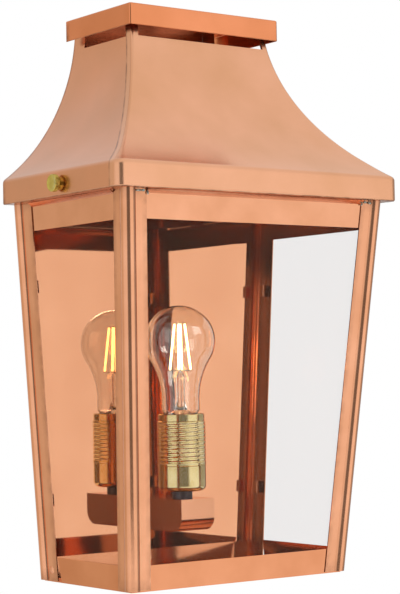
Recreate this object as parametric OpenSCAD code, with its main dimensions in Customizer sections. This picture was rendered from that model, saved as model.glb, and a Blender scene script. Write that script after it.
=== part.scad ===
// Half lantern for a wall: a tapered copper body with three glass panes,
// a swept copper roof with a vented neck, and one lamp on a bracket.
// Heights are measured from the underside of the tray. The finished frame
// has its origin midway between the two wall holes, on the back face.

/* [Body] */
// Width over the side faces at the top of the posts
body_w = 248; // [230:1:256]
// Width over the side faces at the foot
foot_w = 207.5; // [180:0.5:225]
// Depth from the wall to the front face at the top of the posts
body_d = 157; // [145:1:161]
// Depth from the wall to the front face at the foot
foot_d = 125; // [115:1:140]
// Height of the four posts
post_h = 301; // [290:1:320]
// Thickness of the copper sheet
sheet = 0.8; // [0.6:0.1:1]
// Height of the rails under the roof
rail_h = 19; // [12:1:24]
// Gap between the top of a rail and the top of the posts
rail_drop = 3; // [2:0.5:6]
// Distance that a rail's lip leans out to close the gap under the roof
lip_out = 4; // [3:0.2:5]
// Width of the fold along the top of a rail
rail_fold = 12; // [11.5:0.5:16]
// Height of the tray's upstands
tray_h = 19.8; // [14:0.2:26]
// Height of the tray's rear upstand
tray_back_h = 18; // [14:0.5:22]

/* [Posts] */
// Distance from a front corner to the edge of a post's flange
post_face = 17.8; // [15:0.2:22]
// Distance from the wall to the edge of a rear post's flange
rear_face = 22; // [19:0.5:27]
// Width of the raised corner bead on each face
bead_w = 8; // [6:0.5:9]
// Height of the corner bead above the faces
bead_out = 3; // [1.5:0.5:4]
// Outside radius of the bead's edges
bead_r = 2.4; // [1:0.1:2.8]
// Width of a rear post's web beside the back plate
post_web = 8.5; // [6:0.5:12]
// Height of the posts' feet above the underside of the tray
post_lift = 1; // [0:0.2:3]

/* [Glass] */
// Thickness of the panes
glass_t = 3; // [2:0.5:4]
// Distance from a front corner to the edge of a pane
glass_in = 9.2; // [9:0.1:11]
// Distance from the wall to the rear edge of a side pane
glass_rear = 12.5; // [11:0.5:14]
// Height of a glass clip
clip_h = 10; // [6:1:16]

/* [Roof] */
// Width over the side skirts
skirt_w = 273.4; // [270:0.2:290]
// Depth from the wall to the front of the skirt
skirt_d = 166.4; // [164:0.2:180]
// Height of the skirt
skirt_h = 19; // [16:0.5:26]
// Width of the neck
neck_w = 134; // [120:1:140]
// Depth of the neck from the wall
neck_d = 85.5; // [78:0.5:88]
// Height of the sweep from the skirt to the neck
sweep_h = 117; // [100:1:140]
// Radius of the sweep at the sides
side_r = 168; // [140:1:260]
// Radius of the sweep at the front
front_r = 183; // [150:1:280]
// Distance from the top of the sweep down to the vent slots
slot_drop = 6.3; // [4:0.1:10]
// Width of the tabs beside the front vent slot
tab_w = 4.7; // [3:0.1:8]
// Width of the tabs behind the side vent slots
rear_tab_w = 16.8; // [10:0.2:24]
// Width of the lapped seam along each hip
lap_w = 6.5; // [4:0.5:10]
// Height of the laps' feet above the skirt's crease
lap_relief = 1.2; // [1:0.1:4]
// Width of the roof's ledge that bears on the posts
ledge_bearing = 4.6; // [3:0.2:5]

/* [Cap] */
// Width of the rain cap
cap_w = 148.4; // [142:0.2:160]
// Depth of the rain cap from the wall
cap_d = 92.7; // [90:0.1:100]
// Height of the rain cap
cap_h = 17.7; // [14:0.1:24]
// Height of the cap's lower edge above the top of the sweep
cap_lift = 0.8; // [0.4:0.1:6]

/* [Back plate and wall] */
// Height of the wall holes
fix_h = 313; // [310:1:316]
// Height of the back plate
back_h = 325; // [322:1:330]
// Spacing of the wall holes
fix_spacing = 120; // [60:5:180]
// Diameter of the wall holes
fix_d = 5.5; // [4:0.5:7]
// Height of the cable entry
cable_z = 49; // [46:1:52]
// Diameter of the cable entry
cable_d = 8; // [6:0.5:11]
// Diameter of the hole for the grommet
grommet_d = 18; // [15:0.5:20]
// Diameter of the grommet's flange
grommet_flange_d = 22; // [20:0.5:23]
// Thickness of the grommet's flange
grommet_flange_t = 1.5; // [1:0.1:2.5]

/* [Thumb screws] */
// Distance of the screws from the wall
screw_y = 84; // [70:1:100]
// Height of the screws above the skirt's lower edge
screw_up = 9.3; // [8:0.1:11]
// Diameter of the knurled head
head_d = 13.4; // [10:0.2:16]
// Thickness of the knurled head
head_t = 4.4; // [3:0.1:6]
// Diameter of the shoulder behind the head
shoulder_d = 9; // [7:0.5:10]
// Length of the shoulder
shoulder_t = 1.2; // [0.8:0.1:2]
// Diameter of the threaded shaft
shaft_d = 4; // [3:0.5:5]
// Length of the shaft from the outside of the skirt
screw_reach = 18.5; // [18.3:0.1:22]
// Diameter of the washer
washer_d = 10.4; // [9:0.2:12]
// Thickness of the washer
washer_t = 1.2; // [0.6:0.1:2]
// Diameter of the threaded bush, where it fills the skirt's hole
bush_d = 9.6; // [8.8:0.1:9.8]
// Diameter of the bush's flange inside the skirt
bush_flange_d = 13; // [12:0.5:15]
// Thickness of the bush's flange
bush_flange_t = 1.2; // [0.8:0.1:2]
// Length of the threaded bush
bush_l = 6; // [4:0.5:8]
// Width of the tab that a screw presses on
lock_w = 20; // [14:1:30]
// Height of the tab above the screw's axis
lock_over = 7; // [4:0.5:9]

/* [Bracket] */
// Width of the lamp bracket
bracket_w = 33; // [30:1:40]
// Distance from the wall to the front of the bracket
bracket_l = 70; // [64:1:80]
// Height of the bracket
bracket_h = 26; // [24:1:30]
// Height of the bracket's top
bracket_z = 62.5; // [62:0.5:66]
// Radius of the lower front bend
bracket_r = 12; // [6:0.5:14]
// Thickness of the bracket's walls
bracket_t = 1; // [0.8:0.1:1.5]

/* [Lampholder] */
// Distance from the wall to the lamp's axis
lamp_y = 49; // [46:0.5:52]
// Height of the spacer
spacer_h = 5.7; // [4:0.1:8]
// Diameter of the spacer
spacer_d = 16.2; // [14:0.2:20]
// Diameter of the holder's lower cup
cup_d = 39; // [38:0.2:40]
// Height of the holder's lower cup
cup_h = 20.4; // [18:0.2:24]
// Radius of the cup's lower edge
cup_r = 5; // [3:0.5:7]
// Wall of the cup and the skirt
cup_t = 0.8; // [0.6:0.1:1]
// Outside diameter of the skirt's thread
thread_d = 40; // [39.6:0.1:41]
// Pitch of the skirt's thread
thread_pitch = 2.85; // [2.5:0.05:3]
// Depth of the skirt's thread
thread_depth = 0.9; // [0.5:0.1:1]
// Number of thread ridges
thread_count = 12; // [10:1:13]
// Height of the collar under the thread
collar_h = 2.4; // [1.6:0.1:3]
// Height of the plain rim above the thread
rim_h = 5.7; // [4:0.1:6]
// Diameter of the plain rim
rim_d = 37.8; // [37.6:0.1:38.4]
// Diameter of the mouth in the rim
mouth_d = 31.6; // [31:0.1:32.4]
// Diameter of the threaded nipple
nipple_d = 10; // [8:0.5:11]
// Bore of the threaded nipple
nipple_bore = 7; // [5:0.5:7.5]

/* [Lamp] */
// Diameter of the glass bulb
bulb_d = 58; // [54:0.5:62]
// Diameter of the bulb's neck
bulb_neck_d = 30.8; // [29:0.1:31]
// Radius of the hollow between bulb and neck
bulb_hollow_r = 60; // [45:1:80]
// Overall length of the lamp
lamp_l = 112.8; // [108:0.2:118]
// Wall of the glass bulb
bulb_t = 0.8; // [0.6:0.1:1]
// Diameter of the lamp's screw cap
lamp_cap_d = 26.2; // [26:0.1:26.4]
// Height of the lamp's screw cap above its insulator
lamp_cap_h = 18; // [16:0.5:19]
// Length of the light filaments
filament_l = 38; // [32:1:40]
// Diameter of the light filaments
filament_d = 1.8; // [1.2:0.1:2.4]
// Number of light filaments
filament_n = 4; // [3:1:6]

/* [Clearances] */
// Gap between the panes and what holds them
glass_gap = 0.2; // [0.1:0.05:0.4]
// Radial clearance of turned fits
fit = 0.05; // [0.02:0.01:0.1]
// Gap between the roof and the top of the back plate
notch_gap = 1.5; // [1:0.1:3]
// Gap around a rail's lip, under the roof and beside the posts
lip_gap = 0.2; // [0.1:0.05:0.5]
// Gap between a screw's tip and the tab it presses on
tip_gap = 0.3; // [0.2:0.05:0.5]
// Gap between the lamp's tip and the centre contact
contact_gap = 0.3; // [0.2:0.05:0.5]

/* [Hidden] */
$fn = 96;

copper = "#DE9E78";
copper_side = "#C58358";
brass = "#C9B56A";
clear = [0.86, 0.92, 0.94, 0.35];

// Heights that follow from the sizes above
rail_top = post_h - rail_drop;
skirt_top = post_h + skirt_h;
sweep_top = skirt_top + sweep_h;
slot_z = sweep_top - slot_drop;
cap_z = sweep_top + cap_lift;
cap_top = cap_z + cap_h;
screw_z = post_h + screw_up;
bracket_top = bracket_z;
cup_z = bracket_top + spacer_h;
skirt_z = cup_z + cup_h;
thread_z = skirt_z + collar_h;
rim_z = thread_z + thread_count * thread_pitch;
holder_top = rim_z + rim_h;

// Widths that follow from the sizes above
side_ledge = (skirt_w - body_w) / 2 + ledge_bearing;
front_ledge = skirt_d - body_d + ledge_bearing;
lock_x = skirt_w / 2 - screw_reach - tip_gap;
bead_far = bead_w + bead_out;
bend_steps = 5;
beyond = 400;

// Half the body's width and its whole depth at height z
function half_w(z) = (foot_w + (body_w - foot_w) * z / post_h) / 2;
function depth(z) = foot_d + (body_d - foot_d) * z / post_h;

// Places that lean with the body: so far inside a face, as a function of height
left = function (d) function (z) d - half_w(z);
right = function (d) function (z) half_w(z) - d;
front = function (d) function (z) d - depth(z);
wall = function (d) function (z) -d;

// The finished frame hangs from the wall holes
module hang() translate([0, 0, -fix_h]) children();

// Children drawn in X and Z, extruded along Y from the wall plane forwards
module along_y(from, to) {
    translate([0, -from, 0])
        rotate([90, 0, 0])
            linear_extrude(height = to - from)
                children();
}

// Children drawn in Y and Z, extruded along X and centred
module along_x(width) {
    rotate([90, 0, 90])
        linear_extrude(height = width, center = true)
            children();
}

// A piece of sheet with leaning sides, between two heights
module plate(x0, x1, y0, y1, z0, z1) {
    intersection() {
        along_y(-beyond, beyond)
            polygon([[x0(z0), z0], [x1(z0), z0], [x1(z1), z1], [x0(z1), z1]]);
        along_x(2 * beyond)
            polygon([[y0(z0), z0], [y1(z0), z0], [y1(z1), z1], [y0(z1), z1]]);
    }
}

// Folded sheet sections: an outer line with bends, thickened to its left
function unit(v) = v / norm(v);
function turned(v) = [-v.y, v.x];
function bend(a, p, b, r) =
    let (u = unit(a - p), v = unit(b - p))
    [for (i = [0:bend_steps])
        let (q = 90 * i / bend_steps)
        p + (u + v) * r - r * (v * cos(q) + u * sin(q))];
function side_normal(line, i) =
    turned(unit(line[min(i + 1, len(line) - 1)] - line[min(i, len(line) - 2)]));
function thicken_at(line, i, t) =
    let (n1 = side_normal(line, max(i - 1, 0)), n2 = side_normal(line, i))
    line[i] + t * (n1 + n2) / (1 + n1 * n2);
function folded(line, t) =
    concat(line, [for (i = [len(line) - 1:-1:0]) thicken_at(line, i, t)]);

// A flat section carried up a leaning corner; along_front is 1 at the front, 0 at the wall
module corner_post(section, along_front) {
    slope_x = half_w(0) - half_w(1);
    slope_y = along_front * (depth(0) - depth(1));
    tip_x = -atan(slope_y / sqrt(1 + slope_x * slope_x));
    tip_y = atan(slope_x);
    // the same section seen square to the leaning corner
    square_on = [for (p = section)
        [p.x * cos(tip_y), p.x * sin(tip_x) * sin(tip_y) + p.y * cos(tip_x)]];
    intersection() {
        translate([-half_w(0), -along_front * depth(0), 0])
            rotate([tip_x, tip_y, 0])
                translate([0, 0, -post_face])
                    linear_extrude(height = post_h + 2 * post_face)
                        polygon(square_on);
        translate([-beyond, -beyond, post_lift])
            cube([2 * beyond, 2 * beyond, post_h - post_lift]);
    }
}

// Body sheets
module backplate() {
    color(copper) hang() difference() {
        plate(left(post_web), right(post_web), wall(sheet), wall(0), 0, back_h);
        for (s = [-1, 1])
            translate([s * fix_spacing / 2, 0, fix_h])
                rotate([90, 0, 0])
                    cylinder(d = fix_d, h = 4 * sheet, center = true);
        translate([0, 0, cable_z])
            rotate([90, 0, 0])
                cylinder(d = grommet_d, h = 4 * sheet, center = true);
        at_middle_rivet() rivet_hole();
    }
}

tray_notch = 3;
tray_end_gap = 0.6;
tray_end_lean = 0.2;
tray_tab = 18;
tray_end = function (z) -(rear_face + tray_end_gap + (tray_h - z) * tray_end_lean);

module tray() {
    color(copper_side) hang() difference() {
        union() {
            plate(left(sheet), right(sheet), front(sheet), wall(sheet), 0, sheet);
            plate(left(tray_notch), right(tray_notch), front(sheet), front(2 * sheet), 0, tray_h);
            plate(left(tray_notch), right(tray_notch), wall(2 * sheet), wall(sheet), 0, tray_back_h);
            for (s = [0, 1]) mirror([s, 0, 0]) {
                plate(left(sheet), left(2 * sheet), front(tray_notch), tray_end, 0, tray_h);
                plate(left(sheet), left(2 * sheet), wall(tray_tab), wall(sheet), 0, tray_back_h);
                plate(left(sheet), left(tray_notch), wall(2 * sheet), wall(sheet), 0, tray_back_h);
            }
        }
        at_middle_rivet() rivet_hole();
        for (s = [0, 1]) mirror([s, 0, 0]) at_left_rivet() rivet_hole();
    }
}

// Posts: one folded sheet each, with a raised bead on the corner
front_line = let (o = -bead_out, b = bead_w, f = post_face) concat(
    [[0, f], [0, b]],
    bend([0, b], [o, b], [o, o], bead_r / 2),
    bend([o, b], [o, o], [b, o], bead_r),
    bend([o, o], [b, o], [b, 0], bead_r / 2),
    [[b, 0], [f, 0]]
);
rear_line = let (o = -bead_out, b = bead_w, f = rear_face) concat(
    [[post_web, 0]],
    bend([post_web, 0], [o, 0], [o, -b], bead_r / 2),
    bend([o, 0], [o, -b], [0, -b], bead_r / 2),
    [[0, -b], [0, -f]]
);

module front_left() corner_post(folded(front_line, sheet), 1);
module rear_left() {
    difference() {
        corner_post(folded(rear_line, sheet), 0);
        at_left_rivet() rivet_hole();
    }
}
module front_left_post() color(copper) hang() front_left();
module front_right_post() color(copper) hang() mirror([1, 0, 0]) front_left();
module rear_left_post() color(copper_side) hang() rear_left();
module rear_right_post() color(copper_side) hang() mirror([1, 0, 0]) rear_left();

// Rails under the roof, folded inwards along the top
rail_end = bead_w;
fold_end = 14;

lip_t = 1.2;
lip_top = post_h - lip_gap;
lean_out = function (edge) function (z) edge(z) - (z - rail_top) * lip_out / rail_drop;

module front_rail() {
    color(copper) hang() {
        plate(left(post_face + lip_gap), right(post_face + lip_gap),
            lean_out(front(sheet)), lean_out(front(sheet + lip_t)),
            rail_top - sheet / 2, lip_top);
        plate(left(rail_end), right(rail_end), front(sheet), front(2 * sheet),
            rail_top - rail_h, rail_top);
        plate(left(fold_end), right(fold_end), front(sheet), front(rail_fold),
            rail_top - sheet, rail_top);
    }
}

module side_rail() {
    plate(lean_out(left(sheet)), lean_out(left(sheet + lip_t)),
        front(post_face + lip_gap), wall(rear_face + lip_gap),
        rail_top - sheet / 2, lip_top);
    plate(left(sheet), left(2 * sheet), front(rail_end), wall(bead_w),
        rail_top - rail_h, rail_top);
    plate(left(sheet), left(rail_fold), front(fold_end), wall(2 * sheet),
        rail_top - sheet, rail_top);
    translate([-lock_x, -screw_y - lock_w / 2, rail_top - sheet])
        cube([sheet, lock_w, screw_z + lock_over - rail_top + sheet]);
}
module left_rail() color(copper_side) hang() side_rail();
module right_rail() color(copper_side) hang() mirror([1, 0, 0]) side_rail();

// Panes stand on the tray, behind the flanges, rails and upstands
glass_near = 2 * sheet + glass_gap;
glass_far = glass_near + glass_t;
glass_top = rail_top - sheet - glass_gap;

module front_glass() {
    color(clear) hang()
        plate(left(glass_in), right(glass_in), front(glass_near), front(glass_far),
            sheet, glass_top);
}
module side_glass() {
    plate(left(glass_near), left(glass_far), front(glass_in), wall(glass_rear),
        sheet, glass_top);
}
module left_glass() color(clear) hang() side_glass();
module right_glass() color(clear) hang() mirror([1, 0, 0]) side_glass();

// Clips: a leg from the flange beside the pane, with a finger over the glass
clip_t = 0.6;
clip_finger = 5;
clip_z = [60, 230];
clip_near = glass_far + glass_gap;
clip_leg = glass_gap + clip_t;

module front_clip(z) {
    a = glass_in - clip_leg;
    plate(left(a), left(a + clip_t), front(sheet), front(clip_near + clip_t), z, z + clip_h);
    plate(left(a), left(a + clip_finger), front(clip_near), front(clip_near + clip_t), z, z + clip_h);
}
module side_clip(z) {
    a = glass_in - clip_leg;
    plate(left(sheet), left(clip_near + clip_t), front(a), front(a + clip_t), z, z + clip_h);
    plate(left(clip_near), left(clip_near + clip_t), front(a), front(a + clip_finger), z, z + clip_h);
}
module rear_clip(z) {
    a = glass_rear - clip_leg;
    plate(left(sheet), left(clip_near + clip_t), wall(a + clip_t), wall(a), z, z + clip_h);
    plate(left(clip_near), left(clip_near + clip_t), wall(a + clip_finger), wall(a), z, z + clip_h);
}
module glass_clips() {
    color(copper_side) hang()
        for (s = [0, 1], z = clip_z) mirror([s, 0, 0]) {
            front_clip(z);
            side_clip(z);
            rear_clip(z);
        }
}

// Rivets through two sheets, flush where they end: one behind the tray, one in each rear post
rivet_z = 9.5;
rivet_y = 14;
rivet_shank_d = 3;
rivet_head_d = 6;
rivet_head_h = 1.2;
rivet_lean = atan2((body_w - foot_w) / 2, post_h);

module at_middle_rivet() {
    translate([0, -2 * sheet, rivet_z]) rotate([0, 0, 90]) children();
}
module at_left_rivet() {
    translate([-half_w(rivet_z), -rivet_y, rivet_z]) rotate([0, -rivet_lean, 0]) children();
}
module rivet_hole() {
    rotate([0, 90, 0]) cylinder(d = rivet_shank_d + 2 * fit, h = 12 * sheet, center = true);
}
// The head is the cap of a ball, on the side of -X
module rivet() {
    ball_r = (pow(rivet_head_d / 2, 2) + pow(rivet_head_h, 2)) / (2 * rivet_head_h);
    rotate([0, 90, 0]) rotate_extrude() {
        intersection() {
            translate([0, -rivet_head_h]) square([rivet_head_d, rivet_head_h]);
            translate([0, ball_r - rivet_head_h]) circle(r = ball_r);
        }
        square([rivet_shank_d / 2, 2 * sheet]);
    }
}
module tray_rivets() {
    color(copper_side) hang() {
        at_middle_rivet() rivet();
        for (s = [0, 1]) mirror([s, 0, 0]) at_left_rivet() rivet();
    }
}

// Bracket: a bent copper box, open at the wall, with a rounded lower front
module bracket_profile(inset) {
    l = bracket_l - inset;
    h = bracket_h - inset;
    r = bracket_r - inset;
    z0 = bracket_top - bracket_h + inset;
    top = bracket_top - inset;
    translate([-l + r, z0]) square([l - r - sheet, top - z0]);
    translate([-l, z0 + r]) square([l - sheet, top - z0 - r]);
    translate([-l + r, z0 + r]) circle(r = r);
}
module lamp_bracket() {
    color(copper) hang() difference() {
        along_x(bracket_w) bracket_profile(0);
        along_x(bracket_w - 2 * bracket_t) {
            bracket_profile(bracket_t);
            translate([-bracket_l / 2, bracket_top - bracket_h + bracket_t])
                square([bracket_l, bracket_h - 2 * bracket_t]);
        }
        translate([0, -lamp_y, bracket_top - 2 * bracket_t])
            cylinder(d = nipple_d + 2 * fit, h = 4 * bracket_t);
    }
}

module cable_grommet() {
    color("#26262A") hang() translate([0, 0, cable_z]) rotate([90, 0, 0]) difference() {
        union() {
            cylinder(d = grommet_d - 2 * fit, h = sheet + grommet_flange_t);
            translate([0, 0, sheet]) cylinder(d = grommet_flange_d, h = grommet_flange_t);
        }
        translate([0, 0, -1]) cylinder(d = cable_d, h = grommet_flange_t + sheet + 2);
    }
}

// Terminal block on the floor of the bracket, one clamp screw for each wire
block_ways = 3;
block_pitch = 8;
block_l = 17;
block_h = 12;
block_y = 24;
clamp_d = 4;
clamp_sunk = 1;
clamp_slot = 0.8;
wire_hole_d = 3.4;
block_floor = bracket_top - bracket_h + bracket_t;

module terminal_block() {
    color("#E9E4D6") hang() difference() {
        translate([-block_ways * block_pitch / 2, -block_y - block_l / 2, block_floor])
            cube([block_ways * block_pitch, block_l, block_h]);
        for (i = [0:block_ways - 1])
            translate([(i - (block_ways - 1) / 2) * block_pitch, -block_y, block_floor]) {
                translate([0, 0, block_h / 2]) rotate([90, 0, 0])
                    cylinder(d = wire_hole_d, h = 2 * block_l, center = true);
                for (s = [-1, 1])
                    translate([0, s * block_l / 4, block_h / 2])
                        cylinder(d = clamp_d, h = block_h);
            }
    }
}
module terminal_screws() {
    h = block_h / 2 - wire_hole_d / 2 - clamp_sunk;
    color("#B9B9BC") hang()
        for (i = [0:block_ways - 1], s = [-1, 1])
            translate([(i - (block_ways - 1) / 2) * block_pitch, -block_y + s * block_l / 4,
                    block_floor + block_h / 2 + wire_hole_d / 2])
                difference() {
                    cylinder(d = clamp_d - 2 * fit, h = h);
                    translate([-clamp_d, -clamp_slot / 2, h - clamp_slot])
                        cube([2 * clamp_d, clamp_slot, 2 * clamp_slot]);
                }
}

// Nipple through the bracket, the spacer and the holder's cup
nipple_below = 6;
nipple_above = 6;
nut_flats = 14;
nut_h = 3.5;
module on_lamp_axis(z) translate([0, -lamp_y, z]) children();

module nipple() {
    color(brass) hang() on_lamp_axis(bracket_top - nipple_below) difference() {
        cylinder(d = nipple_d, h = nipple_below + spacer_h + nipple_above);
        translate([0, 0, -1])
            cylinder(d = nipple_bore, h = nipple_below + spacer_h + nipple_above + 2);
    }
}
module nipple_nut() {
    color(brass) hang() on_lamp_axis(bracket_top - bracket_t - nut_h) difference() {
        cylinder(d = nut_flats / cos(30), h = nut_h, $fn = 6);
        translate([0, 0, -1]) cylinder(d = nipple_d + 2 * fit, h = nut_h + 2);
    }
}
module holder_spacer() {
    color("#2E3138") hang() on_lamp_axis(bracket_top) difference() {
        cylinder(d = spacer_d, h = spacer_h);
        translate([0, 0, -1]) cylinder(d = nipple_d + 2 * fit, h = spacer_h + 2);
    }
}

// Lower cup: spun brass with a rounded edge and a boss for the nipple
boss_h = 4;
boss_t = 1.6;
module cup_outline(inset) {
    r = cup_d / 2 - inset;
    round_r = cup_r - inset;
    translate([0, inset]) square([r - round_r, cup_h]);
    translate([0, cup_r]) square([r, cup_h - cup_r + inset]);
    translate([r - round_r, cup_r]) circle(r = round_r);
}
module holder_cup() {
    color(brass) hang() on_lamp_axis(cup_z) rotate_extrude() difference() {
        union() {
            difference() {
                intersection() {
                    cup_outline(0);
                    square([cup_d, cup_h]);
                }
                cup_outline(cup_t);
            }
            square([nipple_d / 2 + boss_t, boss_h]);
        }
        translate([-1, -1]) square([nipple_d / 2 + fit + 1, boss_h + 2]);
    }
}

// Skirt: a collar, thread ridges, a plain rim and a mouth turned inwards
skirt_bore = rim_d - 2 * cup_t;
ridge_flat = 0.28;
function ridge(i) =
    let (z = thread_z - skirt_z + i * thread_pitch,
         root = thread_d / 2 - thread_depth,
         crest = thread_d / 2)
    [[root, z], [crest, z + thread_pitch * (0.5 - ridge_flat / 2)],
     [crest, z + thread_pitch * (0.5 + ridge_flat / 2)], [root, z + thread_pitch]];
module holder_skirt() {
    top = holder_top - skirt_z;
    low = rim_z - skirt_z;
    color(brass) hang() on_lamp_axis(skirt_z) rotate_extrude() difference() {
        polygon(concat(
            [[0, 0], [cup_d / 2, 0], [cup_d / 2, 0.9], [cup_d / 2 - 0.5, 1.1],
             [cup_d / 2, 1.3], [cup_d / 2, collar_h]],
            [for (i = [0:thread_count - 1]) each ridge(i)],
            [[rim_d / 2, low + 0.3], [rim_d / 2, top - 0.6], [rim_d / 2 - 0.6, top], [0, top]]
        ));
        translate([-1, -1]) square([skirt_bore / 2 + 1, top - cup_t + 1]);
        translate([-1, 0]) square([mouth_d / 2 + 1, top + 1]);
    }
}

// Insert: moulded core with a socket for the screw shell
insert_gap = 0.2;
insert_foot = 8;
socket_floor = 4.6;
shell_t = 0.6;
shell_bore = lamp_cap_d + 2 * fit;
lamp_tip = rim_z + rim_h - 24;
shell_h = 17;
shell_foot = 2;
module holder_insert() {
    base = cup_z + insert_foot;
    floor_z = lamp_tip - socket_floor;
    top = holder_top - cup_t - insert_gap;
    color("#EDEAE2") hang() on_lamp_axis(0) rotate_extrude() difference() {
        translate([0, base]) square([skirt_bore / 2 - insert_gap, top - base]);
        translate([0, floor_z]) square([shell_bore / 2 + shell_t + insert_gap, beyond]);
        translate([0, floor_z + socket_floor + shell_h]) square([mouth_d / 2, beyond]);
        translate([0, base - 1]) square([nipple_d / 2 + 2, floor_z - base - 1]);
    }
}
module screw_shell() {
    color(brass) hang() on_lamp_axis(lamp_tip - socket_floor) difference() {
        cylinder(d = shell_bore + 2 * shell_t, h = shell_h + socket_floor);
        translate([0, 0, shell_t]) cylinder(d = shell_bore, h = shell_h + socket_floor);
        translate([0, 0, -1]) cylinder(d = shell_bore - 2 * shell_foot, h = 3);
    }
}
// Centre contact: a sprung strip under the lamp's tip
contact_w = 5;
contact_t = 0.5;
contact_foot = 9;
module centre_contact() {
    rise = socket_floor - contact_gap;
    color(brass) hang() translate([-contact_w / 2, -lamp_y, lamp_tip - socket_floor]) {
        rotate([90, 0, 90]) linear_extrude(height = contact_w) polygon([
            [-contact_foot, 0], [0, 0], [contact_foot / 2, rise - contact_t],
            [contact_foot / 2, rise], [-contact_foot / 2, rise], [-contact_foot / 2, rise - contact_t],
            [contact_foot / 4, rise - contact_t], [-contact_t, contact_t], [-contact_foot, contact_t]
        ]);
    }
}

// Roof sweeps: an upright skirt that meets a hollow arc, which runs on up into the cap.
// The arc's centre lies outside, at radius r from the skirt's top and from the neck.
function arc_centre(p, q, r) =
    let (m = (p + q) / 2, d = norm(q - p) / 2, n = turned(unit(p - q)))
    m + n * sqrt(r * r - d * d);
module sweep(skirt, neck, r, inset) {
    difference() {
        translate([-1, post_h - 1]) square([skirt - inset + 1, cap_top - sheet - post_h + 1]);
        translate(arc_centre([skirt, skirt_top], [neck, sweep_top], r))
            circle(r = r + inset, $fn = 360);
    }
}
// Everything inside the side sweeps, or behind the front sweep
module inside_sides(inset) {
    along_y(-1, beyond) for (s = [0, 1]) mirror([s, 0, 0])
        sweep(skirt_w / 2, neck_w / 2, side_r, inset);
}
module behind_front(inset) {
    along_x(2 * beyond) mirror([1, 0]) sweep(skirt_d, neck_d, front_r, inset);
}
module band(z0, z1) translate([-beyond, -beyond, z0]) cube([2 * beyond, beyond, z1 - z0]);

module roof_front() {
    color(copper) hang() difference() {
        union() {
            // the curved panel with its skirt, lapped over the side panels
            intersection() {
                difference() {
                    behind_front(0);
                    behind_front(sheet);
                }
                inside_sides(-sheet);
                band(post_h, cap_top - sheet);
            }
            // the laps along both hips
            difference() {
                intersection() {
                    behind_front(0);
                    inside_sides(-sheet);
                    band(skirt_top + lap_relief, slot_z);
                }
                inside_sides(0);
                behind_front(lap_w);
            }
            // the ledge inside the skirt
            translate([-skirt_w / 2 + sheet, -skirt_d, post_h])
                cube([skirt_w - 2 * sheet, front_ledge, sheet]);
        }
        translate([-neck_w / 2 + tab_w, -beyond, slot_z])
            cube([neck_w - 2 * tab_w, beyond, beyond]);
    }
}

module roof_side() {
    difference() {
        union() {
            difference() {
                intersection() {
                    inside_sides(0);
                    behind_front(sheet);
                    band(post_h, cap_top - sheet);
                }
                inside_sides(sheet);
                translate([0, -beyond, 0]) cube([beyond, 2 * beyond, beyond * 2]);
            }
            translate([-skirt_w / 2, -skirt_d + front_ledge, post_h])
                cube([side_ledge, skirt_d - front_ledge - sheet, sheet]);
        }
        translate([-beyond, -beyond, slot_z]) cube([beyond, beyond - rear_tab_w, beyond]);
        translate([-skirt_w / 2, -screw_y, screw_z]) rotate([0, 90, 0])
            cylinder(d = bush_d + 2 * fit, h = 8 * sheet, center = true);
    }
}
module roof_left() color(copper_side) hang() roof_side();
module roof_right() color(copper) hang() mirror([1, 0, 0]) roof_side();

// Back panel, notched around the top of the back plate
module roof_back() {
    notch_w = half_w(back_h) - post_web + notch_gap;
    color(copper_side) hang() difference() {
        intersection() {
            inside_sides(sheet);
            translate([-beyond, -sheet, post_h])
                cube([2 * beyond, sheet, cap_top - sheet - post_h]);
        }
        translate([-notch_w, -beyond, 0]) cube([2 * notch_w, 2 * beyond, back_h + notch_gap]);
    }
}

// Rain cap: a folded box, open below and towards the wall
module vent_cap() {
    color(copper) hang() difference() {
        translate([-cap_w / 2, -cap_d, cap_z]) cube([cap_w, cap_d, cap_h]);
        translate([-cap_w / 2 + sheet, -cap_d + sheet, cap_z - sheet])
            cube([cap_w - 2 * sheet, cap_d, cap_h]);
    }
}

// Thumb screws, drawn on the left and mirrored
module on_screw_axis(x) {
    translate([-skirt_w / 2 + x, -screw_y, screw_z]) rotate([0, 90, 0]) children();
}
module bush() {
    on_screw_axis(0) difference() {
        union() {
            cylinder(d = bush_d, h = bush_l);
            translate([0, 0, sheet]) cylinder(d = bush_flange_d, h = bush_flange_t);
        }
        translate([0, 0, -1]) cylinder(d = shaft_d + 2 * fit, h = bush_l + 2);
    }
}
module screw_bushes() color(brass) hang() for (s = [0, 1]) mirror([s, 0, 0]) bush();
module washer() {
    on_screw_axis(-washer_t) difference() {
        cylinder(d = washer_d, h = washer_t);
        translate([0, 0, -1]) cylinder(d = shaft_d + 2 * fit, h = washer_t + 2);
    }
}
module thumb_screw() {
    edge = 0.5;
    tip = 0.6;
    r = head_d / 2;
    s = shaft_d / 2;
    face = head_t + shoulder_t;
    on_screw_axis(-washer_t - face) rotate_extrude() polygon([
        [0, 0], [r - edge, 0], [r, edge], [r, head_t - edge], [r - edge, head_t],
        [shoulder_d / 2, head_t], [shoulder_d / 2, face], [s, face],
        [s, face + washer_t + screw_reach - tip], [s - tip, face + washer_t + screw_reach],
        [0, face + washer_t + screw_reach]
    ]);
}
module left_washer() color(brass) hang() washer();
module right_washer() color(brass) hang() mirror([1, 0, 0]) washer();
module left_thumb_screw() color(brass) hang() thumb_screw();
module right_thumb_screw() color(brass) hang() mirror([1, 0, 0]) thumb_screw();

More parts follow.
